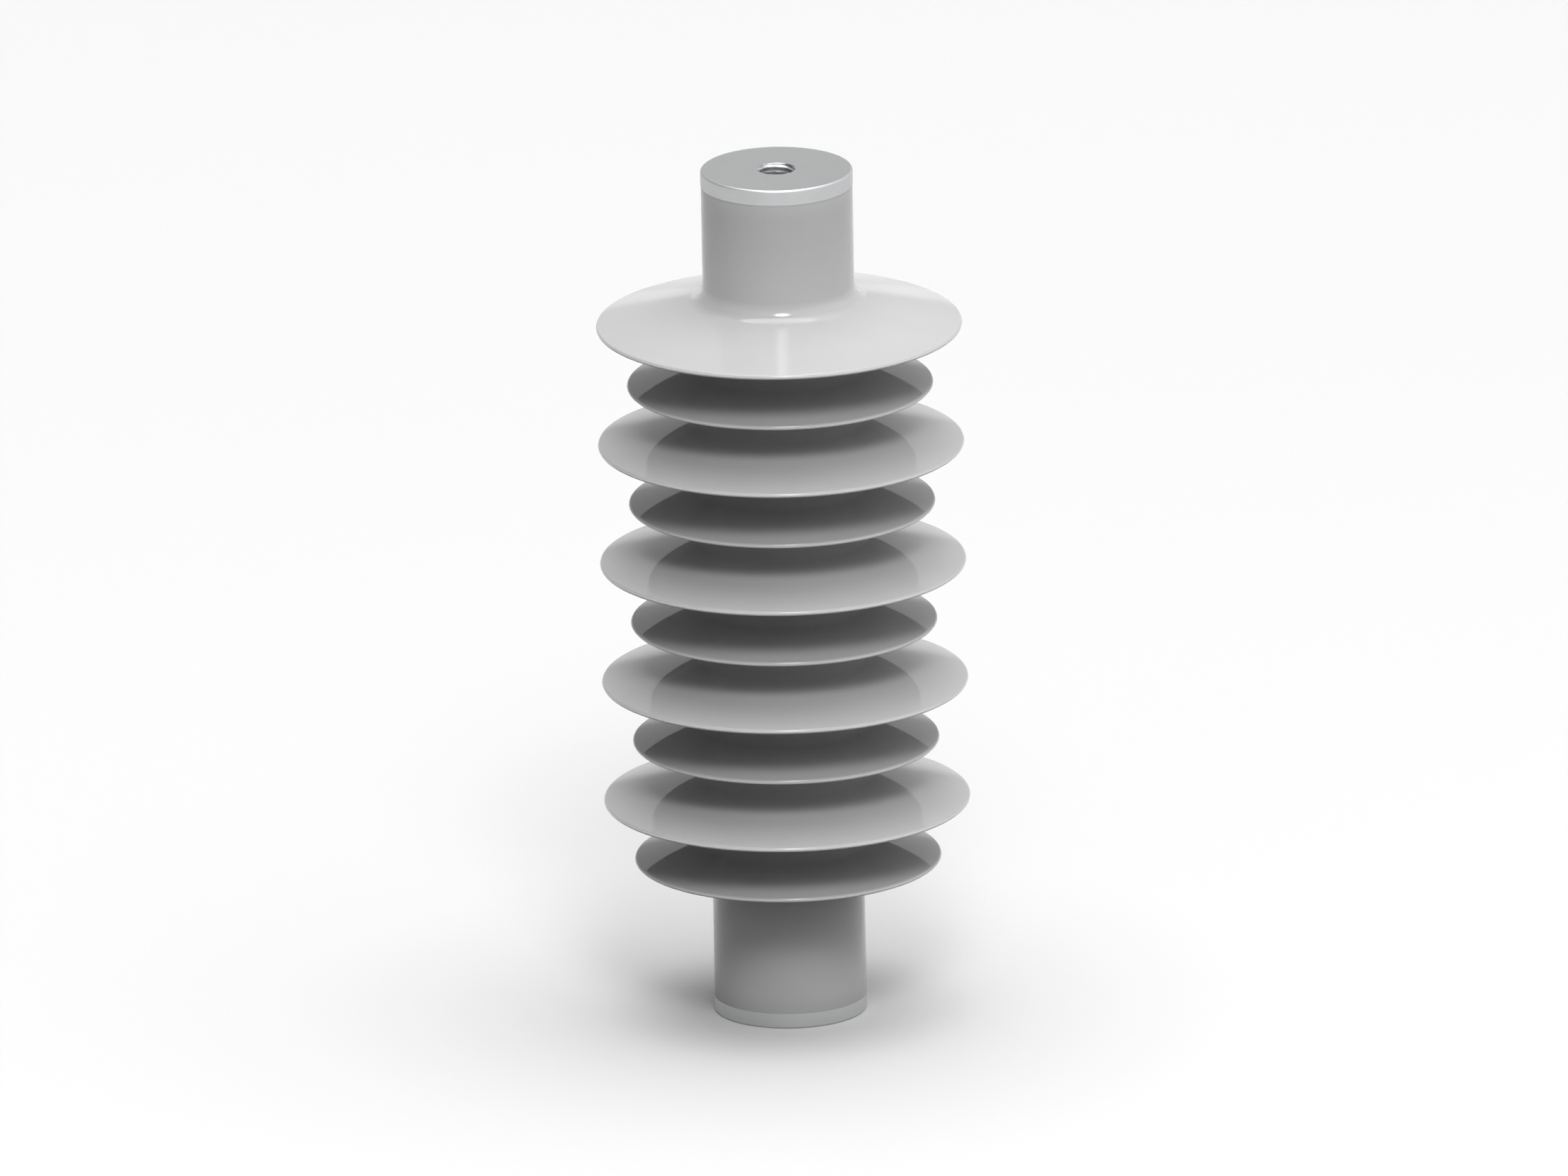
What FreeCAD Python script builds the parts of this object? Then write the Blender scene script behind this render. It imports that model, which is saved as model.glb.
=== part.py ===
import FreeCAD, Part
import math
import os

import Sketcher
from FreeCAD import Placement, Rotation, Vector

# A porcelain-cored post insulator in a silicone housing. The lower end fitting
# stands on z = 0 and the axis of the insulator is the Z axis. Millimetres and
# degrees throughout.

PARTS_FOLDER = "parts"

# alias, value, what it sets
DIMENSIONS = (
    ("shed_count", 10, "sheds, large and small in turn from the top"),
    ("shed_spacing", 25.3, "from the rim of one shed to the rim of the next"),
    ("upper_neck", 66.7, "upper face down to the rim of the top shed"),
    ("lower_neck", 64.6, "lower face up to the rim of the bottom shed"),
    ("large_shed_diameter", 150.0, "over the rim"),
    ("small_shed_diameter", 125.5, "over the rim"),
    ("rim_thickness", 2.1, "the rim is fully rounded"),
    ("top_slope", 14.0, "fall of the upper surface of a shed"),
    ("under_slope", 10.0, "fall of the underside of a shed"),
    ("upper_root_fillet", 8.0, "shed top into its hub"),
    ("lower_root_fillet", 4.0, "shed underside into its hub"),
    ("hub_wall", 0.3, "thinnest wall of the hub, beyond the fillets"),
    ("hub_land", 0.5, "straight stretch of hub beyond each fillet"),
    ("fitting_diameter", 62.5, "flange of the end fitting"),
    ("flange_thickness", 6.4, "flange of the end fitting"),
    ("edge_round", 1.0, "outer edge of the flange"),
    ("flush_step", 0.1, "flange stands proud of the sheath, on the radius"),
    ("sheath_wall", 3.9, "extruded silicone tube"),
    ("gasket_thickness", 1.0, "between flange and core"),
    ("thread_diameter", 16.0, "nominal size of the metric thread"),
    ("thread_pitch", 2.0, "coarse pitch of the thread"),
    ("drill_depth", 28.0, "full diameter of the tapping drill"),
    ("drill_point_angle", 118.0, "point of the tapping drill"),
    ("spigot_wall", 7.0, "metal round the thread"),
    ("spigot_end_wall", 6.0, "metal beyond the drill point"),
    ("key_count", 3, "ring grooves that the cement keys into"),
    ("key_depth", 1.0, "depth of a ring groove"),
    ("key_width", 3.0, "width of a ring groove at its mouth"),
    ("key_bevel", 0.6, "slope of a groove's side, along the axis"),
    ("cement_thickness", 3.0, "between spigot and core"),
    ("cushion_thickness", 2.0, "beyond the end of the spigot"),
)

# Sizes that follow from the driving ones, as expressions on the sheet.
OVERALL_HEIGHT = "dims.upper_neck + dims.lower_neck + (dims.shed_count - 1) * dims.shed_spacing"
SHEATH_RADIUS = "dims.fitting_diameter / 2 - dims.flush_step"
CORE_RADIUS = f"{SHEATH_RADIUS} - dims.sheath_wall"
CORE_START = "dims.flange_thickness + dims.gasket_thickness"

# Minor diameter of an ISO metric internal thread.
THREAD_BORE = "dims.thread_diameter - 1.0825 * dims.thread_pitch"
DRILL_TIP = f"dims.drill_depth + ({THREAD_BORE}) / 2 / tan(dims.drill_point_angle / 2 * 1 deg)"

SPIGOT_RADIUS = "dims.thread_diameter / 2 + dims.spigot_wall"
SPIGOT_END = f"{DRILL_TIP} + dims.spigot_end_wall"
RECESS_RADIUS = f"{SPIGOT_RADIUS} + dims.cement_thickness"
RECESS_END = f"{SPIGOT_END} + dims.cushion_thickness"

HUB_RADIUS = f"{SHEATH_RADIUS} + dims.hub_wall"
UPPER_FILLET_REACH = "dims.upper_root_fillet / tan(45 deg + dims.top_slope / 2 * 1 deg)"
LOWER_FILLET_REACH = "dims.lower_root_fillet / tan(45 deg - dims.under_slope / 2 * 1 deg)"

START = 1
END = 2
CENTRE = 3
ORIGIN = -1
VERTICAL_AXIS = -2
SAME = 1e-6


def make_sheet(doc):
    """The driving dimensions, one named cell each."""
    sheet = doc.addObject("Spreadsheet::Sheet", "dims")
    for row, (alias, value, meaning) in enumerate(DIMENSIONS, start=1):
        sheet.set(f"A{row}", meaning)
        sheet.set(f"B{row}", str(value))
        sheet.setAlias(f"B{row}", alias)
    doc.recompute()
    return sheet


def number(sheet, expression):
    """The value of an expression on the sheet."""
    return float(sheet.evalExpression(expression))


def make_body(doc, name):
    body = doc.addObject("PartDesign::Body", name)
    body.Label = name
    return body


def origin_plane(body, role):
    for feature in body.Origin.OriginFeatures:
        if feature.Role == role:
            return feature
    raise RuntimeError(f"{body.Label} has no {role}")


def make_sketch(body, name, role):
    sketch = body.newObject("Sketcher::SketchObject", name)
    sketch.AttachmentSupport = [(origin_plane(body, role), "")]
    sketch.MapMode = "FlatFace"
    return sketch


def bind(sketch, constraint, name, expression):
    """Add a driving constraint and tie it to the sheet."""
    index = sketch.addConstraint(constraint)
    sketch.renameConstraint(index, name)
    sketch.setExpression(f"Constraints.{name}", expression)


def place_coordinate(sketch, kind, name, geometry, position, value, expression):
    """Hold one coordinate of a point at an expression, or on the axis when it is 0."""
    if expression == "0":
        axis = VERTICAL_AXIS if kind == "DistanceX" else ORIGIN
        sketch.addConstraint(Sketcher.Constraint("PointOnObject", geometry, position, axis))
        return
    constraint = Sketcher.Constraint(kind, ORIGIN, START, geometry, position, value)
    bind(sketch, constraint, name, expression)


def revolve_outline(sheet, body, name, outline):
    """Revolve a closed outline of (radius, height) expressions about the Z axis."""
    sketch = make_sketch(body, f"{name}_outline", "XZ_Plane")
    corners = [Vector(number(sheet, r), number(sheet, z), 0) for r, z in outline]
    count = len(outline)
    for i in range(count):
        sketch.addGeometry(Part.LineSegment(corners[i], corners[(i + 1) % count]))
    for i in range(count):
        sketch.addConstraint(Sketcher.Constraint("Coincident", i, END, (i + 1) % count, START))
    for i, (radius, height) in enumerate(outline):
        before = outline[i - 1]
        if i > 0 and radius == before[0]:
            sketch.addConstraint(Sketcher.Constraint("Vertical", i - 1))
        else:
            place_coordinate(sketch, "DistanceX", f"r{i}", i, START, corners[i].x, radius)
        if i > 0 and height == before[1]:
            sketch.addConstraint(Sketcher.Constraint("Horizontal", i - 1))
        else:
            place_coordinate(sketch, "DistanceY", f"z{i}", i, START, corners[i].y, height)
    return revolve(body, name, sketch)


def revolve(body, name, sketch):
    revolution = body.newObject("PartDesign::Revolution", name)
    revolution.Profile = sketch
    revolution.ReferenceAxis = (sketch, ["V_Axis"])
    revolution.Angle = 360
    sketch.Document.recompute()
    return revolution


def circles_of_radius(shape, radius):
    """Names of the circular edges of one radius about the Z axis, lowest first.

    Along a shed's hub these are: lower lip, underside root, top root, upper lip.
    """
    found = []
    for index, edge in enumerate(shape.Edges, start=1):
        curve = edge.Curve
        if isinstance(curve, Part.Circle) and abs(curve.Radius - radius) < SAME:
            found.append((curve.Center.z, f"Edge{index}"))
    return [name for _, name in sorted(found)]


def fillet(body, name, feature, edges, radius):
    rounding = body.newObject("PartDesign::Fillet", name)
    rounding.Base = (feature, edges)
    rounding.setExpression("Radius", radius)
    body.Document.recompute()
    return rounding


def keyed_wall(sheet, radius, groove_radius, wall_start, wall_end):
    """Points up a wall with evenly spaced ring grooves, without the wall's two ends."""
    points = []
    for key in range(1, int(number(sheet, "dims.key_count")) + 1):
        middle = f"{wall_start} + (({wall_end}) - ({wall_start})) * {key} / (dims.key_count + 1)"
        points.append((radius, f"{middle} - dims.key_width / 2"))
        points.append((groove_radius, f"{middle} - dims.key_width / 2 + dims.key_bevel"))
        points.append((groove_radius, f"{middle} + dims.key_width / 2 - dims.key_bevel"))
        points.append((radius, f"{middle} + dims.key_width / 2"))
    return points


def spigot_wall(sheet):
    groove = f"{SPIGOT_RADIUS} - dims.key_depth"
    return keyed_wall(sheet, SPIGOT_RADIUS, groove, "dims.flange_thickness", SPIGOT_END)


def recess_wall(sheet):
    groove = f"{RECESS_RADIUS} + dims.key_depth"
    return keyed_wall(sheet, RECESS_RADIUS, groove, CORE_START, SPIGOT_END)


def end_placement(body, end):
    """Put a piece modelled at the lower end there, or turn it over to the upper end."""
    if end == "upper":
        body.Placement = Placement(Vector(0, 0, 0), Rotation(Vector(1, 0, 0), 180))
        body.setExpression("Placement.Base.z", OVERALL_HEIGHT)


def make_end_fitting(doc, sheet, end):
    """A flange flush with the sheath, on a grooved spigot with a blind threaded hole."""
    body = make_body(doc, f"{end}_end_fitting")
    flange_radius = "dims.fitting_diameter / 2"
    outline = [
        ("0", "0"),
        (flange_radius, "0"),
        (flange_radius, "dims.flange_thickness"),
        (SPIGOT_RADIUS, "dims.flange_thickness"),
        *spigot_wall(sheet),
        (SPIGOT_RADIUS, SPIGOT_END),
        ("0", SPIGOT_END),
    ]
    turned = revolve_outline(sheet, body, f"{end}_turned", outline)
    edge = circles_of_radius(turned.Shape, number(sheet, flange_radius))[:1]
    rounded = fillet(body, f"{end}_edge_round", turned, edge, "dims.edge_round")
    drill_fitting(sheet, body, end, rounded)
    end_placement(body, end)
    return body


def drill_fitting(sheet, body, end, blank):
    """The tapping drill's hole, countersunk to the thread's outer diameter."""
    centre = make_sketch(body, f"{end}_hole_centre", "XY_Plane")
    centre.addGeometry(Part.Circle(Vector(0, 0, 0), Vector(0, 0, 1), number(sheet, THREAD_BORE) / 2))
    centre.addConstraint(Sketcher.Constraint("Coincident", 0, CENTRE, ORIGIN, START))
    circle = Sketcher.Constraint("Diameter", 0, number(sheet, THREAD_BORE))
    bind(centre, circle, "bore", THREAD_BORE)
    body.Document.recompute()
    hole = body.newObject("PartDesign::Hole", f"{end}_threaded_hole")
    hole.Profile = centre
    hole.Reversed = True
    hole.ThreadType = "None"
    hole.DepthType = "Dimension"
    hole.DrillPoint = "Angled"
    hole.HoleCutType = "Countersink"
    hole.HoleCutCountersinkAngle = 90
    hole.setExpression("Diameter", THREAD_BORE)
    hole.setExpression("Depth", "dims.drill_depth")
    hole.setExpression("DrillPointAngle", "dims.drill_point_angle * 1 deg")
    hole.setExpression("HoleCutDiameter", "dims.thread_diameter")
    body.Document.recompute()
    radius = number(sheet, THREAD_BORE) / 2
    drilled = math.pi * radius ** 2 * number(sheet, "dims.drill_depth")
    if blank.Shape.Volume - hole.Shape.Volume < drilled:
        raise RuntimeError(f"{body.Label} is not drilled")


def make_cement_joint(doc, sheet, end):
    """Portland cement between spigot and recess, keyed into the grooves of both."""
    body = make_body(doc, f"{end}_cement_joint")
    outline = [
        (SPIGOT_RADIUS, "dims.flange_thickness"),
        (RECESS_RADIUS, "dims.flange_thickness"),
        *recess_wall(sheet),
        (RECESS_RADIUS, SPIGOT_END),
        (SPIGOT_RADIUS, SPIGOT_END),
        *reversed(spigot_wall(sheet)),
    ]
    revolve_outline(sheet, body, f"{end}_cement", outline)
    end_placement(body, end)
    return body


def make_cushion_disc(doc, sheet, end):
    """A soft disc that keeps the spigot off the floor of the recess."""
    body = make_body(doc, f"{end}_cushion_disc")
    outline = [
        ("0", SPIGOT_END),
        (RECESS_RADIUS, SPIGOT_END),
        (RECESS_RADIUS, RECESS_END),
        ("0", RECESS_END),
    ]
    revolve_outline(sheet, body, f"{end}_cushion", outline)
    end_placement(body, end)
    return body


def make_face_gasket(doc, sheet, end):
    """A flat ring between the flange and the end of the core."""
    body = make_body(doc, f"{end}_face_gasket")
    outline = [
        (RECESS_RADIUS, "dims.flange_thickness"),
        (CORE_RADIUS, "dims.flange_thickness"),
        (CORE_RADIUS, CORE_START),
        (RECESS_RADIUS, CORE_START),
    ]
    revolve_outline(sheet, body, f"{end}_gasket", outline)
    end_placement(body, end)
    return body


def make_porcelain_core(doc, sheet):
    """A solid porcelain rod with a grooved recess in each end."""
    body = make_body(doc, "porcelain_core")
    core_end = f"{OVERALL_HEIGHT} - ({CORE_START})"
    lower = [*recess_wall(sheet), (RECESS_RADIUS, RECESS_END), ("0", RECESS_END)]
    upper = [(radius, f"{OVERALL_HEIGHT} - ({height})") for radius, height in reversed(lower)]
    outline = [
        (CORE_RADIUS, core_end),
        (CORE_RADIUS, CORE_START),
        (RECESS_RADIUS, CORE_START),
        *lower,
        *upper,
        (RECESS_RADIUS, core_end),
    ]
    revolve_outline(sheet, body, "core_rod", outline)
    return body


def make_silicone_sheath(doc, sheet):
    """An extruded tube over the core, from flange to flange."""
    body = make_body(doc, "silicone_sheath")
    section = make_sketch(body, "sheath_section", "XY_Plane")
    for index, (name, radius) in enumerate((("outside", SHEATH_RADIUS), ("inside", CORE_RADIUS))):
        size = number(sheet, radius)
        section.addGeometry(Part.Circle(Vector(0, 0, 0), Vector(0, 0, 1), size))
        section.addConstraint(Sketcher.Constraint("Coincident", index, CENTRE, ORIGIN, START))
        bind(section, Sketcher.Constraint("Radius", index, size), name, radius)
    tube = body.newObject("PartDesign::Pad", "sheath_tube")
    tube.Profile = section
    tube.setExpression("Length", f"{OVERALL_HEIGHT} - 2 * dims.flange_thickness")
    body.setExpression("Placement.Base.z", "dims.flange_thickness")
    return body


def draw_shed(sheet, sketch, diameter):
    """Half section of a shed, with the middle of its rim at height 0.

    The lines run round from the bore: bore, upper lip, upper hub, top, rim,
    underside, lower hub and lower lip.
    """
    rim_radius = number(sheet, "dims.rim_thickness / 2")
    rim_centre = number(sheet, f"({diameter} - dims.rim_thickness) / 2")
    slope = math.radians(number(sheet, "dims.top_slope"))
    under = math.radians(number(sheet, "dims.under_slope"))
    bore = number(sheet, SHEATH_RADIUS)
    hub = number(sheet, HUB_RADIUS)
    lip = hub - bore
    land = number(sheet, "dims.hub_land")

    rim_top = Vector(rim_centre + rim_radius * math.sin(slope), rim_radius * math.cos(slope), 0)
    rim_under = Vector(rim_centre - rim_radius * math.sin(under), -rim_radius * math.cos(under), 0)
    root_top = Vector(hub, rim_top.y + (rim_top.x - hub) * math.tan(slope), 0)
    root_under = Vector(hub, rim_under.y + (rim_under.x - hub) * math.tan(under), 0)
    hub_top = Vector(hub, root_top.y + number(sheet, UPPER_FILLET_REACH) + land, 0)
    hub_bottom = Vector(hub, root_under.y - number(sheet, LOWER_FILLET_REACH) - land, 0)
    bore_top = Vector(bore, hub_top.y + lip, 0)
    bore_bottom = Vector(bore, hub_bottom.y - lip, 0)

    wall, upper_lip, upper_hub, top, rim, underside, lower_hub, lower_lip = range(8)
    rim_circle = Part.Circle(Vector(rim_centre, 0, 0), Vector(0, 0, 1), rim_radius)
    rim_arc = Part.ArcOfCircle(rim_circle, -math.pi / 2 - under, math.pi / 2 - slope)
    sketch.addGeometry(Part.LineSegment(bore_bottom, bore_top))
    sketch.addGeometry(Part.LineSegment(bore_top, hub_top))
    sketch.addGeometry(Part.LineSegment(hub_top, root_top))
    sketch.addGeometry(Part.LineSegment(rim_top, root_top))
    sketch.addGeometry(rim_arc)
    sketch.addGeometry(Part.LineSegment(rim_under, root_under))
    sketch.addGeometry(Part.LineSegment(root_under, hub_bottom))
    sketch.addGeometry(Part.LineSegment(hub_bottom, bore_bottom))

    joins = (
        (wall, END, upper_lip, START),
        (upper_lip, END, upper_hub, START),
        (upper_hub, END, top, END),
        (underside, END, lower_hub, START),
        (lower_hub, END, lower_lip, START),
        (lower_lip, END, wall, START),
    )
    for join in joins:
        sketch.addConstraint(Sketcher.Constraint("Coincident", *join))
    sketch.addConstraint(Sketcher.Constraint("Tangent", top, START, rim, END))
    sketch.addConstraint(Sketcher.Constraint("Tangent", underside, START, rim, START))
    for line in (wall, upper_hub, lower_hub):
        sketch.addConstraint(Sketcher.Constraint("Vertical", line))
    sketch.addConstraint(Sketcher.Constraint("PointOnObject", rim, CENTRE, ORIGIN))

    def horizontal(first, first_end, second, second_end, value):
        return Sketcher.Constraint("DistanceX", first, first_end, second, second_end, value)

    def upright(first, first_end, second, second_end, value):
        return Sketcher.Constraint("DistanceY", first, first_end, second, second_end, value)

    upper_reach = f"{UPPER_FILLET_REACH} + dims.hub_land"
    lower_reach = f"{LOWER_FILLET_REACH} + dims.hub_land"
    bind(sketch, horizontal(ORIGIN, START, rim, CENTRE, rim_centre),
         "rim_centre", f"({diameter} - dims.rim_thickness) / 2")
    bind(sketch, Sketcher.Constraint("Radius", rim, rim_radius),
         "rim_radius", "dims.rim_thickness / 2")
    bind(sketch, Sketcher.Constraint("Angle", top, math.pi - slope),
         "top_slope", "180 deg - dims.top_slope * 1 deg")
    bind(sketch, Sketcher.Constraint("Angle", underside, math.pi - under),
         "under_slope", "180 deg - dims.under_slope * 1 deg")
    bind(sketch, horizontal(ORIGIN, START, wall, START, bore), "bore_radius", SHEATH_RADIUS)
    bind(sketch, horizontal(ORIGIN, START, upper_hub, START, hub), "upper_hub_radius", HUB_RADIUS)
    bind(sketch, horizontal(ORIGIN, START, lower_hub, START, hub), "lower_hub_radius", HUB_RADIUS)
    bind(sketch, upright(upper_hub, END, upper_hub, START, hub_top.y - root_top.y),
         "upper_hub_length", upper_reach)
    bind(sketch, upright(lower_hub, END, lower_hub, START, root_under.y - hub_bottom.y),
         "lower_hub_length", lower_reach)
    bind(sketch, upright(upper_lip, END, upper_lip, START, lip), "upper_lip", "dims.hub_wall")
    bind(sketch, upright(lower_lip, END, lower_lip, START, lip), "lower_lip", "dims.hub_wall")


def make_shed(doc, sheet, number_from_top):
    """A moulded silicone shed. Odd ones are large and even ones small."""
    body = make_body(doc, f"shed_{number_from_top:02d}")
    size = "large" if number_from_top % 2 else "small"
    section = make_sketch(body, f"{body.Label}_section", "XZ_Plane")
    draw_shed(sheet, section, f"dims.{size}_shed_diameter")
    moulded = revolve(body, f"{body.Label}_moulded", section)
    hub_radius = number(sheet, HUB_RADIUS)
    _, _, top_root, _ = circles_of_radius(moulded.Shape, hub_radius)
    upper = fillet(body, f"{body.Label}_upper_fillet", moulded, [top_root], "dims.upper_root_fillet")
    _, under_root, *_ = circles_of_radius(upper.Shape, hub_radius)
    fillet(body, f"{body.Label}_lower_fillet", upper, [under_root], "dims.lower_root_fillet")
    rise = f"(dims.shed_count - {number_from_top}) * dims.shed_spacing"
    body.setExpression("Placement.Base.z", f"dims.lower_neck + {rise}")
    return body


def check(doc, pieces):
    """Stop if any object failed or any piece is not one sound solid."""
    for item in doc.Objects:
        if "Invalid" in item.State or "Error" in item.State:
            raise RuntimeError(f"{item.Label} failed: {item.State}")
    for piece in pieces:
        shape = piece.Shape
        if shape.isNull() or not shape.isValid() or len(shape.Solids) != 1:
            raise RuntimeError(f"{piece.Label} is not one valid solid")


def write_steps(pieces):
    os.makedirs(PARTS_FOLDER, exist_ok=True)
    for piece in pieces:
        piece.Shape.exportStep(os.path.join(PARTS_FOLDER, f"{piece.Label}.step"))


document = FreeCAD.newDocument("post_insulator")
dims = make_sheet(document)
shed_total = int(number(dims, "dims.shed_count"))

assembly = [make_porcelain_core(document, dims), make_silicone_sheath(document, dims)]
for which_end in ("upper", "lower"):
    assembly.append(make_end_fitting(document, dims, which_end))
    assembly.append(make_cement_joint(document, dims, which_end))
    assembly.append(make_cushion_disc(document, dims, which_end))
    assembly.append(make_face_gasket(document, dims, which_end))
for shed_number in range(1, shed_total + 1):
    assembly.append(make_shed(document, dims, shed_number))

document.recompute()
check(document, assembly)
write_steps(assembly)
for piece in assembly:
    box = piece.Shape.BoundBox
    print(f"{piece.Label:22s} {piece.Shape.Volume:12.1f} mm3  z {box.ZMin:8.3f} to {box.ZMax:8.3f}")
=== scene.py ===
import math

import bpy
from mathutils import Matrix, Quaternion, Vector


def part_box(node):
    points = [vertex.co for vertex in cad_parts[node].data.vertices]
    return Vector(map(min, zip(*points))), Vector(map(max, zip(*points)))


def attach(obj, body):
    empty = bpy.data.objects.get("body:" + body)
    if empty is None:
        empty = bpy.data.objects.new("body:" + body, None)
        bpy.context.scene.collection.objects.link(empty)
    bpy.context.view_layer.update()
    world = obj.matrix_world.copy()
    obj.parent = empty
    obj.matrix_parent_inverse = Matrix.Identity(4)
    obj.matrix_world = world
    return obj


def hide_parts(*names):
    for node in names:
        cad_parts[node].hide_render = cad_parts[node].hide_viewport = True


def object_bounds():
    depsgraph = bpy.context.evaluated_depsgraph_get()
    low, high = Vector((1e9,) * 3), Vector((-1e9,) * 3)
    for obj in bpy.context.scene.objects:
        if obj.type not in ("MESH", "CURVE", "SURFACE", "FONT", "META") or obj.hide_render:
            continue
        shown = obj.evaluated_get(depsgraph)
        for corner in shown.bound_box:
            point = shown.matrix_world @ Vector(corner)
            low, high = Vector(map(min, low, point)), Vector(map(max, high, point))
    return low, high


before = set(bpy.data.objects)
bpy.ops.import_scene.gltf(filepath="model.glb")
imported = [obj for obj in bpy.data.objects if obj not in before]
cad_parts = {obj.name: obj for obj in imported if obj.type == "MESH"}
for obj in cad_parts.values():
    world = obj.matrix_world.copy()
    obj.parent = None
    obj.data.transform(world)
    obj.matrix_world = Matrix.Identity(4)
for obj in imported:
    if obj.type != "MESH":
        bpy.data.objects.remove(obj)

CAD_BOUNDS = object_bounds()
MM = 0.001
TURN = 2 * math.pi

# Sizes of the visual pieces, in metres, the same as in the CAD model.
RIM_RADIUS = 1.05 * MM
TOP_SLOPE = math.radians(14)
UNDER_SLOPE = math.radians(10)
UPPER_ROOT_FILLET = 8.0 * MM
LOWER_ROOT_FILLET = 4.0 * MM
HUB_WALL = 0.3 * MM
HUB_LAND = 0.5 * MM
FLANGE_THICKNESS = 6.4 * MM
EDGE_ROUND = 1.0 * MM
SPIGOT_RADIUS = 15.0 * MM
KEY_COUNT = 3
KEY_DEPTH = 1.0 * MM
KEY_WIDTH = 3.0 * MM
KEY_BEVEL = 0.6 * MM
THREAD_RADIUS = 8.0 * MM
THREAD_PITCH = 2.0 * MM
THREAD_LENGTH = 24.0 * MM
DRILL_DEPTH = 28.0 * MM
DRILL_POINT = math.radians(118)
THREAD_HEIGHT = 0.54125 * THREAD_PITCH   # ISO basic profile
ROOT_HALF_FLAT = THREAD_PITCH / 16
FLANK_WIDTH = 0.3125 * THREAD_PITCH
BORE_RADIUS = THREAD_RADIUS - THREAD_HEIGHT

# Detail that the CAD model leaves out.
SHEATH_END_ROUND = 0.12 * MM    # cut ends of the extruded sheath
HUB_FEATHER = 0.01 * MM         # a shed's hub feathers out on to the sheath
PARTING_BEAD = 0.05 * MM        # trace of the mould's parting line round a rim
PARTING_WIDTH = 0.15 * MM
MOUTH_ROUND = 0.5 * MM          # broken edge round the countersink

RING_SEGMENTS = 192
RIM_STEPS = 36
UPPER_FILLET_STEPS = 20
LOWER_FILLET_STEPS = 10
TOP_STEPS = 10                  # the sloping top and underside of a shed
UNDER_STEPS = 8
SHEATH_STEPS = 60
CORNER_STEPS = 4
MOUTH_STEPS = 6
FACE_STEPS = 6
EDGE_STEPS = 12
THREAD_ROW = 0.2 * MM
SHARP = math.radians(30)


# --- outlines in the (radius, height) plane --------------------------------

def arc(centre, radius, start, end, steps):
    """Points on an arc, with angles in radians from the direction of growing radius."""
    points = []
    for i in range(steps + 1):
        angle = start + (end - start) * i / steps
        points.append((centre[0] + radius * math.cos(angle), centre[1] + radius * math.sin(angle)))
    return points


def between(first, last, steps):
    """Points that divide a straight run, without its two ends."""
    points = []
    for i in range(1, steps):
        share = i / steps
        radius = first[0] + (last[0] - first[0]) * share
        height = first[1] + (last[1] - first[1]) * share
        points.append((radius, height))
    return points


def root_height(rim_centre, hub, slope, side):
    """Height over the rim at which a shed's sloping surface meets its hub: side 1 is the top."""
    edge_radius = rim_centre + side * RIM_RADIUS * math.sin(slope)
    edge_height = side * RIM_RADIUS * math.cos(slope)
    return edge_height + (edge_radius - hub) * math.tan(slope)


def upper_reach():
    return UPPER_ROOT_FILLET / math.tan(math.pi / 4 + TOP_SLOPE / 2)


def lower_reach():
    return LOWER_ROOT_FILLET / math.tan(math.pi / 4 - UNDER_SLOPE / 2)


def rim_height(node):
    """Height of the middle of a shed's rim, found from the top of its CAD hub."""
    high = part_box(node)[1]
    hub = sheath_radius() + HUB_WALL
    root = root_height(high.x - RIM_RADIUS, hub, TOP_SLOPE, 1)
    return high.z - root - upper_reach() - HUB_LAND - HUB_WALL


def sheath_radius():
    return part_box("silicone_sheath")[1].x


def shed_outline(node):
    """Closed outline of a shed, from the foot of its bore."""
    bore = sheath_radius()
    hub = bore + HUB_FEATHER
    centre = (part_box(node)[1].x - RIM_RADIUS, rim_height(node))
    top_root = centre[1] + root_height(centre[0], hub, TOP_SLOPE, 1)
    under_root = centre[1] + root_height(centre[0], hub, UNDER_SLOPE, -1)
    top_centre = (hub + UPPER_ROOT_FILLET, top_root + upper_reach())
    under_centre = (hub + LOWER_ROOT_FILLET, under_root - lower_reach())

    upper = arc(top_centre, UPPER_ROOT_FILLET, math.pi, 1.5 * math.pi - TOP_SLOPE, UPPER_FILLET_STEPS)
    rim = arc(centre, RIM_RADIUS, math.pi / 2 - TOP_SLOPE, -math.pi / 2 - UNDER_SLOPE, RIM_STEPS)
    lower_start = math.pi / 2 - UNDER_SLOPE
    lower = arc(under_centre, LOWER_ROOT_FILLET, lower_start, math.pi, LOWER_FILLET_STEPS)
    rim = [(radius - parting_inset(height - centre[1]), height) for radius, height in rim]
    outline = [(bore, under_centre[1]), (bore, top_centre[1])]
    outline += upper + between(upper[-1], rim[0], TOP_STEPS) + rim
    outline += between(rim[-1], lower[0], UNDER_STEPS) + lower
    return outline


def parting_inset(off_middle):
    """How far the rim lies inside its full radius, which only the parting bead reaches."""
    return PARTING_BEAD * (1 - math.exp(-(off_middle / PARTING_WIDTH) ** 2))


def sheath_outline():
    """Closed outline of the sheath tube with its outer corners broken."""
    low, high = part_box("silicone_sheath")
    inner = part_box("porcelain_core")[1].x
    edge = high.x - SHEATH_END_ROUND
    top = arc((edge, high.z - SHEATH_END_ROUND), SHEATH_END_ROUND, math.pi / 2, 0, CORNER_STEPS)
    foot = arc((edge, low.z + SHEATH_END_ROUND), SHEATH_END_ROUND, 0, -math.pi / 2, CORNER_STEPS)
    wall = between(top[-1], foot[0], SHEATH_STEPS)
    return [(inner, low.z), (inner, high.z)] + top + wall + foot


# --- meshes ----------------------------------------------------------------

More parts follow.
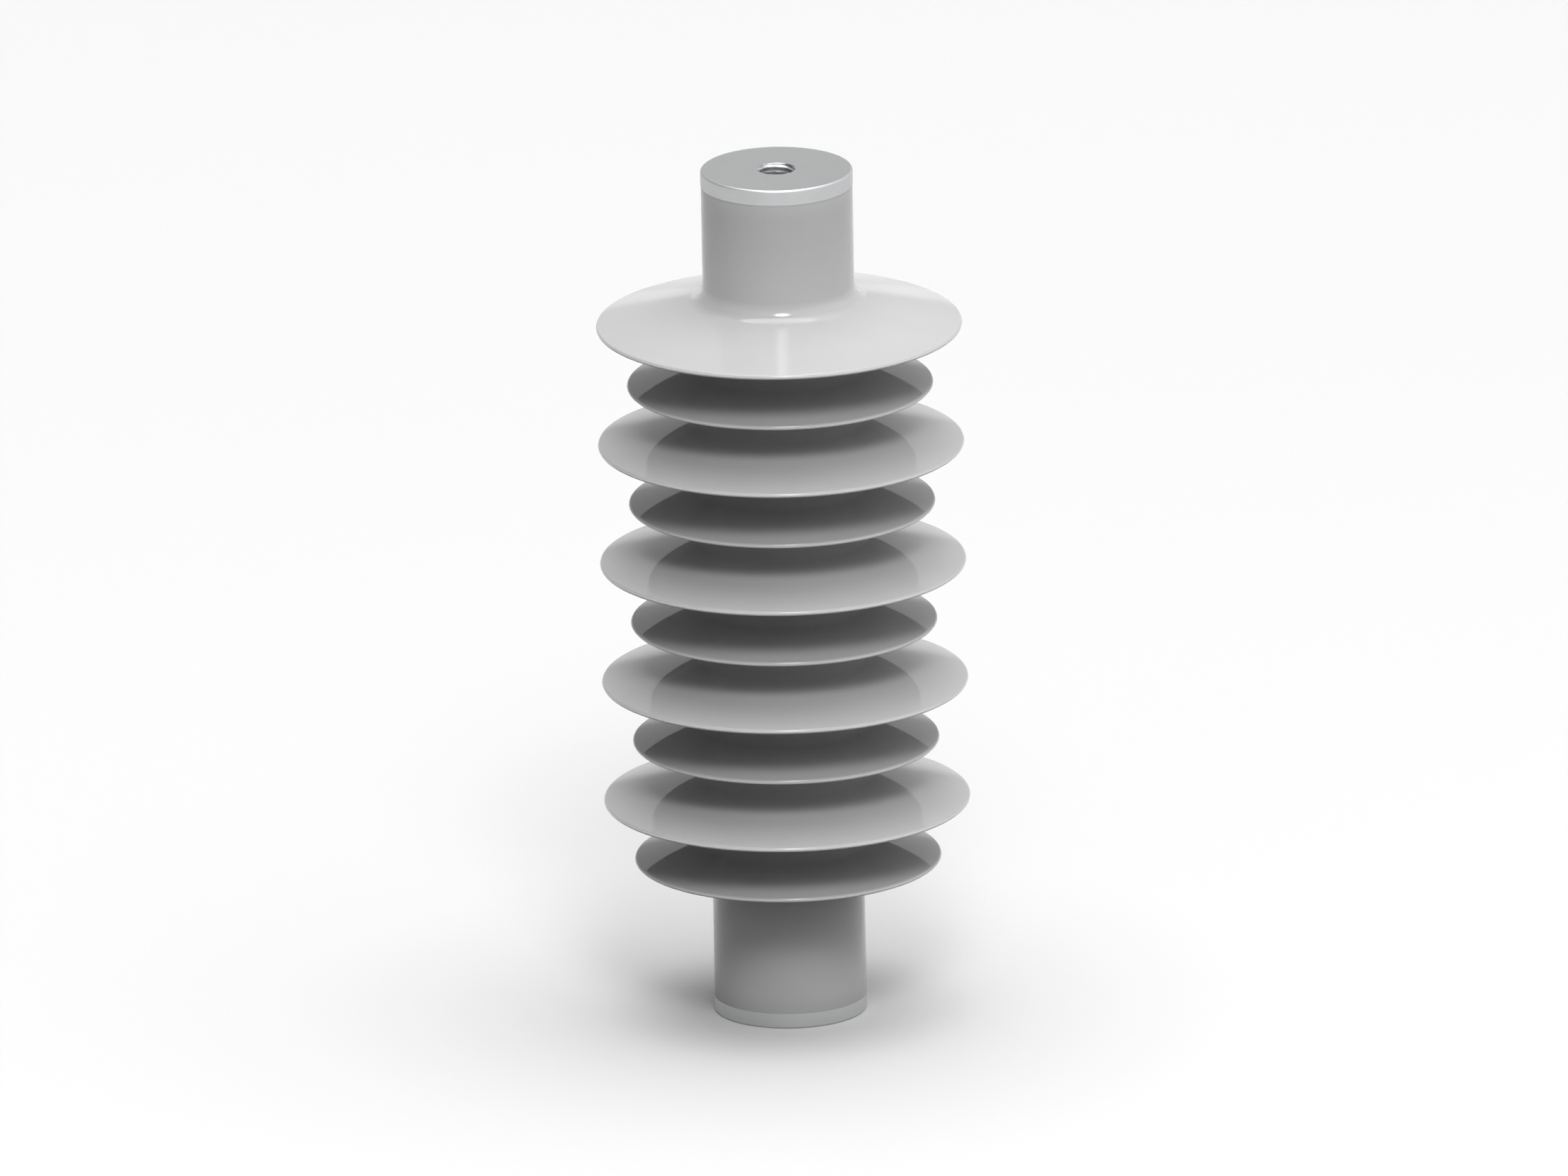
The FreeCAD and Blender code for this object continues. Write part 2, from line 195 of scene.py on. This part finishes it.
def mesh_piece(name, vertices, faces):
    """A smooth-shaded object, with edges kept crisp where the surface really turns."""
    mesh = bpy.data.meshes.new(name)
    mesh.from_pydata(vertices, [], faces)
    mesh.update()
    mesh.shade_smooth()
    mesh.set_sharp_from_angle(angle=SHARP)
    piece = bpy.data.objects.new(name, mesh)
    bpy.context.scene.collection.objects.link(piece)
    return piece


def revolved_ring(name, outline):
    """A closed outline clear of the axis, turned about Z into one closed mesh."""
    count = len(outline)
    vertices = []
    faces = []
    for i in range(RING_SEGMENTS):
        angle = TURN * i / RING_SEGMENTS
        here = i * count
        there = (i + 1) % RING_SEGMENTS * count
        for j, (radius, height) in enumerate(outline):
            k = (j + 1) % count
            vertices.append((radius * math.cos(angle), radius * math.sin(angle), height))
            faces.append((here + k, there + k, there + j, here + j))
    return mesh_piece(name, vertices, faces)


def revolved_rows(name, first_pole, rows, last_pole, placed):
    """Rings of points between two poles on the axis. A row is a function of the angle.

    placed turns a point of the fitting's own frame into the row frame.
    """
    vertices = [placed(Vector((0, 0, first_pole)))]
    for row in rows:
        for i in range(RING_SEGMENTS):
            angle = TURN * i / RING_SEGMENTS
            radius, height = row(angle)
            point = Vector((radius * math.cos(angle), radius * math.sin(angle), height))
            vertices.append(placed(point))
    vertices.append(placed(Vector((0, 0, last_pole))))
    last = len(vertices) - 1
    faces = []
    for i in range(RING_SEGMENTS):
        k = (i + 1) % RING_SEGMENTS
        faces.append((0, 1 + i, 1 + k))
        for j in range(len(rows) - 1):
            low = 1 + j * RING_SEGMENTS
            high = low + RING_SEGMENTS
            faces.append((low + i, high + i, high + k, low + k))
        end = last - RING_SEGMENTS
        faces.append((end + i, last, end + k))
    return mesh_piece(name, vertices, faces)


def plain_rows(points):
    """Rows with the same radius and height all the way round."""
    return [lambda angle, point=point: point for point in points]


# --- the end fitting -------------------------------------------------------

def thread_radius(angle, height):
    """Wall of the tapped hole: an ISO thread that the countersink cuts into at the mouth."""
    phase = (height / THREAD_PITCH - angle / TURN) % 1.0
    off_root = abs(phase - 0.5) * THREAD_PITCH
    flank = (off_root - ROOT_HALF_FLAT) / FLANK_WIDTH
    cut = 1 - min(1.0, max(0.0, flank))
    runout = (THREAD_LENGTH + THREAD_PITCH - height) / THREAD_PITCH
    cut *= min(1.0, max(0.0, runout))
    tapped = BORE_RADIUS + THREAD_HEIGHT * cut
    countersink = THREAD_RADIUS - height
    return max(tapped, countersink)


def hole_rows():
    """From the drill point out to the mouth, the outer face being at height 0."""
    rows = plain_rows([(BORE_RADIUS, DRILL_DEPTH)])
    height = DRILL_DEPTH - THREAD_ROW
    while height > MOUTH_ROUND * (1 - math.cos(math.pi / 4)) + THREAD_ROW / 2:
        rows.append(lambda angle, height=height: (thread_radius(angle, height), height))
        height -= THREAD_ROW
    return rows


def spigot_outline(spigot_end):
    """Side of the spigot with its ring grooves, from the flange to its far end."""
    points = [(SPIGOT_RADIUS, FLANGE_THICKNESS)]
    groove = SPIGOT_RADIUS - KEY_DEPTH
    half = KEY_WIDTH / 2
    for key in range(1, KEY_COUNT + 1):
        middle = FLANGE_THICKNESS + (spigot_end - FLANGE_THICKNESS) * key / (KEY_COUNT + 1)
        points.append((SPIGOT_RADIUS, middle - half))
        points.append((groove, middle - half + KEY_BEVEL))
        points.append((groove, middle + half - KEY_BEVEL))
        points.append((SPIGOT_RADIUS, middle + half))
    points.append((SPIGOT_RADIUS, spigot_end))
    return points


def end_fitting(end):
    """The flanged fitting with a real thread in its hole."""
    node = f"{end}_end_fitting"
    low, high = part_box(node)
    flange = high.x
    spigot_end = high.z - low.z
    corner = (flange - EDGE_ROUND, EDGE_ROUND)
    mouth_centre = (THREAD_RADIUS + MOUTH_ROUND * math.tan(math.pi / 8), MOUTH_ROUND)
    mouth = arc(mouth_centre, MOUTH_ROUND, -0.75 * math.pi, -math.pi / 2, MOUTH_STEPS)
    rounded = arc(corner, EDGE_ROUND, -math.pi / 2, 0, EDGE_STEPS)
    outside = mouth + between(mouth[-1], rounded[0], FACE_STEPS) + rounded
    outside.append((flange, FLANGE_THICKNESS))
    rows = hole_rows() + plain_rows(outside + spigot_outline(spigot_end))
    tip = DRILL_DEPTH + BORE_RADIUS / math.tan(DRILL_POINT / 2)

    def at_lower_end(point):
        return (point.x, point.y, low.z + point.z)

    def turned_over(point):
        return (point.x, -point.y, high.z - point.z)

    placed = turned_over if end == "upper" else at_lower_end
    return revolved_rows(f"{end}_fitting_threaded", tip, rows, spigot_end, placed)


# --- materials -------------------------------------------------------------

# Where a finish, or a painted light or shade, changes: from and to, as distances from the axis.
SHEATH_TO_SHED = (31.2 * MM, 33 * MM)
OFF_ROOT = (45 * MM, 50 * MM)
HOLE_EDGE = (8.2 * MM, 8.3 * MM)
FACE_TO_SIDE = (30.2 * MM, 31.2 * MM)
THREAD_START = (1.0 * MM, 1.5 * MM)      # below the face
RING_SPACING = 0.12 * MM                 # turning marks

# How far a rim's surface faces up where the painted light on its lower half fades in, and where the
# underside begins.
RIM_PAINTED_LIGHT_FACING = (0, 0.6)
UNDERSIDE_ENDS = (-0.97, -0.93)


class Recipe:
    """A node material: a Principled shader fed by procedural patterns in object space."""

    def __init__(self, name):
        self.material = bpy.data.materials.new(name)
        self.material.use_nodes = True
        self.tree = self.material.node_tree
        self.shader = self.tree.nodes["Principled BSDF"]
        self.place = self.add("ShaderNodeTexCoord").outputs["Object"]

    def add(self, kind, **settings):
        node = self.tree.nodes.new(kind)
        for key, value in settings.items():
            setattr(node, key, value)
        return node

    def link(self, output, target):
        self.tree.links.new(output, target)

    def noise(self, size, detail=3.0, roughness=0.5, stretch=(1, 1, 1)):
        """Soft pattern whose features are about size metres across."""
        mapping = self.add("ShaderNodeMapping")
        mapping.inputs["Scale"].default_value = stretch
        self.link(self.place, mapping.inputs["Vector"])
        noise = self.add("ShaderNodeTexNoise")
        noise.inputs["Scale"].default_value = 1 / size
        noise.inputs["Detail"].default_value = detail
        noise.inputs["Roughness"].default_value = roughness
        self.link(mapping.outputs["Vector"], noise.inputs["Vector"])
        return noise.outputs["Fac"]

    def span(self, value, low, high, start=0.35, end=0.65):
        """Stretch the middle of a pattern over a range of plain numbers."""
        node = self.add("ShaderNodeMapRange", clamp=True)
        node.inputs["From Min"].default_value = start
        node.inputs["From Max"].default_value = end
        node.inputs["To Min"].default_value = low
        node.inputs["To Max"].default_value = high
        self.link(value, node.inputs["Value"])
        return node.outputs["Result"]

    def ramp(self, value, *stops):
        """Colours along a pattern: each stop is (position, (r, g, b))."""
        node = self.add("ShaderNodeValToRGB")
        elements = node.color_ramp.elements
        while len(elements) < len(stops):
            elements.new(1.0)
        for element, (position, colour) in zip(elements, stops):
            element.position = position
            element.color = (*colour, 1)
        self.link(value, node.inputs["Fac"])
        return node.outputs["Color"]

    def mixed(self, share, first, second, blend="MIX"):
        node = self.add("ShaderNodeMix", data_type="RGBA", blend_type=blend)
        if isinstance(share, float):
            node.inputs["Factor"].default_value = share
        else:
            self.link(share, node.inputs["Factor"])
        self.link(first, node.inputs["A"])
        self.link(second, node.inputs["B"])
        return node.outputs["Result"]

    def maths(self, operation, first, second):
        node = self.add("ShaderNodeMath", operation=operation)
        for socket, value in zip(node.inputs, (first, second)):
            if isinstance(value, (int, float)):
                socket.default_value = value
            else:
                self.link(value, socket)
        return node.outputs["Value"]

    def radius(self):
        """Distance from the insulator's axis."""
        split = self.add("ShaderNodeSeparateXYZ")
        self.link(self.place, split.inputs["Vector"])
        level = [split.outputs[axis] for axis in "XY"]
        squares = [self.maths("MULTIPLY", value, value) for value in level]
        return self.maths("SQRT", self.maths("ADD", *squares), 0)

    def height(self):
        split = self.add("ShaderNodeSeparateXYZ")
        self.link(self.place, split.inputs["Vector"])
        return split.outputs["Z"]

    def facing_up(self):
        """1 where the surface faces straight up, -1 where it faces straight down."""
        split = self.add("ShaderNodeSeparateXYZ")
        self.link(self.add("ShaderNodeTexCoord").outputs["Normal"], split.inputs["Vector"])
        return split.outputs["Z"]

    def bump(self, height, depth):
        """Relief of at most depth metres."""
        node = self.add("ShaderNodeBump")
        node.inputs["Strength"].default_value = 1.0
        node.inputs["Distance"].default_value = depth
        self.link(height, node.inputs["Height"])
        return node.outputs["Normal"]

    def finish(self, colour=None, roughness=None, normal=None, **fixed):
        for name, value in fixed.items():
            self.shader.inputs[name.replace("_", " ")].default_value = value
        for name, output in (("Base Color", colour), ("Roughness", roughness), ("Normal", normal)):
            if output is not None:
                self.link(output, self.shader.inputs[name])
        return self.material


def silicone_rubber():
    """Light grey silicone with the high gloss of a polished mould.

    The sheath and the lower half of the rims carry painted light: they are set paler than the sheds,
    to meet the photograph's brightness under this studio's light. That is a choice: the rubber itself
    is probably one tone.
    The real rims may be lit from the floor, which sends no light up here, or be squarer than these.
    """
    recipe = Recipe("silicone_rubber")
    clouds = recipe.noise(30 * MM, detail=4)
    grain = recipe.noise(0.5 * MM, detail=2)
    tone = recipe.ramp(clouds, (0.3, (0.453, 0.453, 0.453)), (0.7, (0.468, 0.468, 0.468)))
    speck = recipe.ramp(grain, (0.3, (0.97, 0.97, 0.97)), (0.7, (1, 1, 1)))
    colour = recipe.mixed(1.0, tone, speck, "MULTIPLY")
    on_shed = recipe.span(recipe.radius(), 0, 1, *SHEATH_TO_SHED)
    # Painted light: the sheath is kept paler than the sheds, which this multiplier darkens.
    painted_shade = recipe.ramp(on_shed, (0, (1, 1, 1)), (1, (0.88, 0.88, 0.88)))
    colour = recipe.mixed(1.0, colour, painted_shade, "MULTIPLY")
    # Painted light: the lower half of each rim, above the underside and away from the root, is mixed
    # towards a paler grey.
    facing = recipe.facing_up()
    painted_rim_light = recipe.span(facing, 1, 0, *RIM_PAINTED_LIGHT_FACING)
    above_underside = recipe.span(facing, 0, 1, *UNDERSIDE_ENDS)
    painted_rim_light = recipe.maths("MULTIPLY", painted_rim_light, above_underside)
    off_root = recipe.span(recipe.radius(), 0, 1, *OFF_ROOT)
    painted_rim_light = recipe.maths("MULTIPLY", painted_rim_light, off_root)
    painted_rim_light_tone = recipe.ramp(clouds, (0.3, (0.76, 0.76, 0.76)), (0.7, (0.80, 0.80, 0.80)))
    colour = recipe.mixed(painted_rim_light, colour, painted_rim_light_tone)
    gloss = recipe.span(recipe.noise(9 * MM, detail=5), 0.08, 0.10)
    gloss = recipe.maths("SUBTRACT", gloss, recipe.maths("MULTIPLY", on_shed, 0.05))
    relief = recipe.bump(grain, 0.0008 * MM)
    return recipe.finish(colour, gloss, relief, IOR=1.45)


def turned_metal():
    """Aluminium with the fine rings that facing and turning leave.

    The side of the flange is rougher than its face and carries painted shade that makes it a little
    darker, and the thread is rougher and carries painted shade that darkens it. Both are set to meet
    the brightness in the photograph.
    """
    recipe = Recipe("turned_aluminium")
    radius = recipe.radius()
    height = recipe.height()
    depth = recipe.maths("MINIMUM", height, recipe.maths("SUBTRACT", CAD_BOUNDS[1].z, height))
    in_hole = recipe.span(radius, 1, 0, *HOLE_EDGE)
    threaded = recipe.maths("MULTIPLY", in_hole, recipe.span(depth, 0, 1, *THREAD_START))
    side = recipe.span(radius, 0, 1, *FACE_TO_SIDE)

    clouds = recipe.noise(8 * MM, detail=4)
    tone = recipe.ramp(clouds, (0.3, (0.575, 0.586, 0.590)), (0.7, (0.590, 0.601, 0.605)))
    # Painted shade: the thread in the hole is darker than the rest of the metal.
    painted_thread_shade = recipe.ramp(clouds, (0.3, (0.44, 0.45, 0.46)), (0.7, (0.50, 0.51, 0.52)))
    colour = recipe.mixed(threaded, tone, painted_thread_shade)
    # Painted shade: the side of the flange is a little darker than its face.
    painted_shade = recipe.ramp(side, (0, (1, 1, 1)), (1, (0.94, 0.94, 0.94)))
    colour = recipe.mixed(1.0, colour, painted_shade, "MULTIPLY")

    gloss = recipe.span(recipe.noise(3 * MM, detail=4), 0.30, 0.33)
    gloss = recipe.maths("ADD", gloss, recipe.maths("MULTIPLY", side, 0.25))
    gloss = recipe.maths("ADD", gloss, recipe.maths("MULTIPLY", in_hole, -0.12))
    gloss = recipe.maths("ADD", gloss, recipe.maths("MULTIPLY", threaded, 0.35))

    rings = recipe.maths("MULTIPLY", recipe.maths("ADD", radius, height), TURN / RING_SPACING)
    relief = recipe.bump(recipe.maths("SINE", rings, 0), 0.0006 * MM)
    return recipe.finish(colour, gloss, relief, Metallic=1.0)


def fired_porcelain():
    """Cream-white unglazed body with faint iron specks and grinding marks."""
    recipe = Recipe("fired_porcelain")
    clouds = recipe.noise(20 * MM, detail=4)
    tone = recipe.ramp(clouds, (0.3, (0.74, 0.71, 0.64)), (0.7, (0.82, 0.80, 0.74)))
    iron = recipe.noise(0.6 * MM, detail=1)
    specks = recipe.ramp(iron, (0.2, (0.45, 0.36, 0.26)), (0.27, (1, 1, 1)))
    colour = recipe.mixed(1.0, tone, specks, "MULTIPLY")
    gloss = recipe.span(recipe.noise(4 * MM), 0.42, 0.55)
    marks = recipe.bump(recipe.noise(0.4 * MM, stretch=(1, 1, 6)), 0.01 * MM)
    return recipe.finish(colour, gloss, marks)


def hardened_cement():
    """Grey cement paste with sand grains and small pores."""
    recipe = Recipe("hardened_cement")
    sand = recipe.noise(0.7 * MM, detail=4, roughness=0.7)
    colour = recipe.ramp(sand, (0.3, (0.20, 0.195, 0.18)), (0.7, (0.42, 0.41, 0.38)))
    gloss = recipe.span(sand, 0.8, 0.95)
    return recipe.finish(colour, gloss, recipe.bump(sand, 0.15 * MM))


def pressed_felt():
    """Brown pressed felt: short matted fibres."""
    recipe = Recipe("pressed_felt")
    fibres = recipe.noise(0.4 * MM, detail=6, roughness=0.7, stretch=(1, 3, 1))
    colour = recipe.ramp(fibres, (0.3, (0.10, 0.075, 0.05)), (0.7, (0.28, 0.22, 0.16)))
    gloss = recipe.span(fibres, 0.85, 1.0)
    return recipe.finish(colour, gloss, recipe.bump(fibres, 0.1 * MM))


def black_nitrile():
    """Black gasket sheet with a fine calendered surface."""
    recipe = Recipe("black_nitrile")
    grain = recipe.noise(0.3 * MM, detail=3)
    colour = recipe.ramp(grain, (0.3, (0.010, 0.010, 0.011)), (0.7, (0.022, 0.022, 0.023)))
    gloss = recipe.span(grain, 0.45, 0.6)
    return recipe.finish(colour, gloss, recipe.bump(grain, 0.02 * MM))


def studio_paper():
    """Plain pale backdrop paper."""
    recipe = Recipe("studio_paper")
    fibre = recipe.noise(1.5 * MM, detail=3)
    colour = recipe.ramp(fibre, (0.3, (0.565, 0.565, 0.565)), (0.7, (0.575, 0.575, 0.575)))
    gloss = recipe.span(fibre, 0.9, 1.0)
    return recipe.finish(colour, gloss, None)


def dress(piece, material):
    piece.data.materials.clear()
    piece.data.materials.append(material)


# --- the object ------------------------------------------------------------

def stand_for(piece, node, material):
    """A visual piece takes the place of its CAD node."""
    dress(piece, material)
    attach(piece, "root")
    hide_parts(node)


def build_housing(material):
    sheath = revolved_ring("sheath_moulded", sheath_outline())
    stand_for(sheath, "silicone_sheath", material)
    for node in sorted(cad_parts):
        if node.startswith("shed_"):
            shed = revolved_ring(f"{node}_moulded", shed_outline(node))
            stand_for(shed, node, material)


def build_fittings(material):
    for end in ("upper", "lower"):
        stand_for(end_fitting(end), f"{end}_end_fitting", material)


def dress_inner_pieces():
    dress(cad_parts["porcelain_core"], fired_porcelain())
    finishes = {
        "cement_joint": hardened_cement(),
        "cushion_disc": pressed_felt(),
        "face_gasket": black_nitrile(),
    }
    for end in ("upper", "lower"):
        for name, material in finishes.items():
            dress(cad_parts[f"{end}_{name}"], material)


# --- the studio ------------------------------------------------------------

CAMERA_ELEVATION = math.radians(17.12)
CAMERA_ROLL = math.radians(-1.0)
CAMERA_DISTANCE = 1.6
PICTURE_WIDTH = 0.642            # metres across the orthographic picture
AIM_HEIGHT = 0.1793
AIM_RIGHT = 0.00015

FLOOR_SIZE = 60.0

# Brightness of the sky towards the front, right, back and left, from the horizon up.
SKY_HORIZON = (0.5, 0.6, 1.0, 0.5)
SKY_LOW = (0.35, 1.4, 0.6, 0.6)
SKY_MIDDLE = (0.95, 0.95, 0.6, 0.0)
SKY_UPPER = (0.0, 1.6, 1.6, 0.0)
SKY_TOP = 4.6

# Elevations, in degrees, over which each of these gives way to the one above it.
HORIZON_TO_LOW = (4, 10)
LOW_TO_MIDDLE = (22, 28)
MIDDLE_TO_UPPER = (45, 51)
UPPER_TO_TOP = (63, 66)
DARK_TO_HORIZON = (-2, -1)

STRIP_BRIGHTNESS = 2.0
STRIP_ELEVATIONS = (52.5, 54.5)
STRIP_HALF_WIDTH = 36
STRIP_FADE = 1.5                   # degrees


def direction(azimuth, elevation):
    """Unit vector from the object towards a place: azimuth 0 is the camera's side, 90 its right."""
    a, e = math.radians(azimuth), math.radians(elevation)
    return Vector((math.sin(a) * math.cos(e), -math.cos(a) * math.cos(e), math.sin(e)))


def build_camera():
    data = bpy.data.cameras.new("camera")
    data.type = "ORTHO"
    data.ortho_scale = PICTURE_WIDTH
    camera = bpy.data.objects.new("camera", data)
    bpy.context.scene.collection.objects.link(camera)
    back = direction(0, math.degrees(CAMERA_ELEVATION))
    camera.rotation_mode = "QUATERNION"
    roll = Quaternion((0, 0, 1), CAMERA_ROLL)
    camera.rotation_quaternion = (-back).to_track_quat("-Z", "Y") @ roll
    camera.location = Vector((AIM_RIGHT, 0, AIM_HEIGHT)) + back * CAMERA_DISTANCE
    bpy.context.scene.camera = camera


def build_floor():
    """A wide pale sheet at the height of the lower face."""
    half = FLOOR_SIZE / 2
    level = CAD_BOUNDS[0].z
    corners = [(-half, -half, level), (half, -half, level), (half, half, level), (-half, half, level)]
    floor = mesh_piece("studio_floor", corners, [(0, 1, 2, 3)])
    dress(floor, studio_paper())
    floor.visible_diffuse = False    # it sends no light up to the object


def soft_light(name, azimuth, elevation, distance, size, power):
    """A square softbox that faces the middle of the object and fades towards its edges."""
    data = bpy.data.lights.new(name, "AREA")
    data.shape = "SQUARE"
    data.size = size
    data.energy = power
    data.use_nodes = True
    tree = data.node_tree
    across = tree.nodes.new("ShaderNodeNewGeometry")
    from_middle = tree.nodes.new("ShaderNodeVectorMath")
    from_middle.operation = "DISTANCE"
    from_middle.inputs[1].default_value = (0.5, 0.5, 0)
    tree.links.new(across.outputs["Parametric"], from_middle.inputs[0])
    fade = tree.nodes.new("ShaderNodeMapRange")
    fade.interpolation_type = "SMOOTHSTEP"
    for socket, value in (("From Min", 0), ("From Max", 0.5), ("To Min", 1), ("To Max", 0)):
        fade.inputs[socket].default_value = value
    tree.links.new(from_middle.outputs["Value"], fade.inputs["Value"])
    tree.links.new(fade.outputs["Result"], tree.nodes["Emission"].inputs["Strength"])

    lamp = bpy.data.objects.new(name, data)
    bpy.context.scene.collection.objects.link(lamp)
    away = direction(azimuth, elevation)
    lamp.location = Vector((0, 0, AIM_HEIGHT)) + away * distance
    lamp.rotation_mode = "QUATERNION"
    lamp.rotation_quaternion = away.to_track_quat("Z", "Y")
    lamp.visible_camera = False


class Sky:
    """The studio round the object, as the brightness of each direction."""

    def __init__(self):
        world = bpy.data.worlds.new("studio")
        world.use_nodes = True
        bpy.context.scene.world = world
        self.tree = world.node_tree
        place = self.tree.nodes.new("ShaderNodeTexCoord")
        split = self.tree.nodes.new("ShaderNodeSeparateXYZ")
        self.tree.links.new(place.outputs["Generated"], split.inputs["Vector"])
        self.rise = split.outputs["Z"]
        squares = [self.maths("POWER", split.outputs[axis], 2) for axis in "XY"]
        level = self.maths("MAXIMUM", self.maths("SQRT", self.maths("ADD", *squares), 0), 0.001)
        right = self.maths("DIVIDE", split.outputs["X"], level)
        back = self.maths("DIVIDE", split.outputs["Y"], level)
        left = self.maths("MULTIPLY", right, -1)
        self.front = self.maths("MULTIPLY", back, -1)
        self.sides = [self.lobe(side) for side in (self.front, right, back, left)]

    def maths(self, operation, first, second):
        node = self.tree.nodes.new("ShaderNodeMath")
        node.operation = operation
        for socket, value in zip(node.inputs, (first, second)):
            if isinstance(value, (int, float)):
                socket.default_value = value
            else:
                self.tree.links.new(value, socket)
        return node.outputs["Value"]

    def lobe(self, side):
        """1 towards one side, 0 from a quarter turn away. The four lobes add up to 1."""
        return self.maths("POWER", self.maths("MAXIMUM", side, 0), 2)

    def step(self, value, low, high):
        """0 below the first angle, 1 above the second: the value is the sine of the angle."""
        node = self.tree.nodes.new("ShaderNodeMapRange")
        node.interpolation_type = "SMOOTHSTEP"
        node.inputs["From Min"].default_value = math.sin(math.radians(low))
        node.inputs["From Max"].default_value = math.sin(math.radians(high))
        self.tree.links.new(value, node.inputs["Value"])
        return node.outputs["Result"]

    def band(self, *brightness):
        """Brightness towards the front, right, back and left."""
        total = 0
        for side, value in zip(self.sides, brightness):
            total = self.maths("ADD", total, self.maths("MULTIPLY", side, value))
        return total

    def blend(self, share, lower, upper):
        more = self.maths("MULTIPLY", share, self.maths("SUBTRACT", upper, lower))
        return self.maths("ADD", lower, more)

    def strip(self, low, high, half_width):
        """A level softbox on the camera's side, from one elevation to another."""
        edge = STRIP_FADE / 2
        up = self.step(self.rise, low - edge, low + edge)
        down = self.step(self.rise, high - edge, high + edge)
        ends = self.step(self.front, 80 - half_width, 100 - half_width)
        return self.maths("MULTIPLY", self.maths("SUBTRACT", up, down), ends)

    def shine(self, brightness):
        background = self.tree.nodes["Background"]
        background.inputs["Color"].default_value = (1, 1, 1, 1)
        self.tree.links.new(brightness, background.inputs["Strength"])


def build_world():
    """A soft sky: bright overhead, and brighter on the right than on the left."""
    sky = Sky()
    brightness = sky.band(*SKY_HORIZON)
    brightness = sky.blend(sky.step(sky.rise, *HORIZON_TO_LOW), brightness, sky.band(*SKY_LOW))
    brightness = sky.blend(sky.step(sky.rise, *LOW_TO_MIDDLE), brightness, sky.band(*SKY_MIDDLE))
    brightness = sky.blend(sky.step(sky.rise, *MIDDLE_TO_UPPER), brightness, sky.band(*SKY_UPPER))
    brightness = sky.blend(sky.step(sky.rise, *UPPER_TO_TOP), brightness, SKY_TOP)
    strip = sky.strip(*STRIP_ELEVATIONS, STRIP_HALF_WIDTH)
    brightness = sky.maths("ADD", brightness, sky.maths("MULTIPLY", strip, STRIP_BRIGHTNESS))
    sky.shine(sky.maths("MULTIPLY", brightness, sky.step(sky.rise, *DARK_TO_HORIZON)))


build_camera()
build_housing(silicone_rubber())
build_fittings(turned_metal())
dress_inner_pieces()
build_floor()
build_world()
soft_light("key", azimuth=5.5, elevation=45, distance=6.0, size=2.8, power=720)
bpy.context.scene.view_settings.view_transform = "Standard"
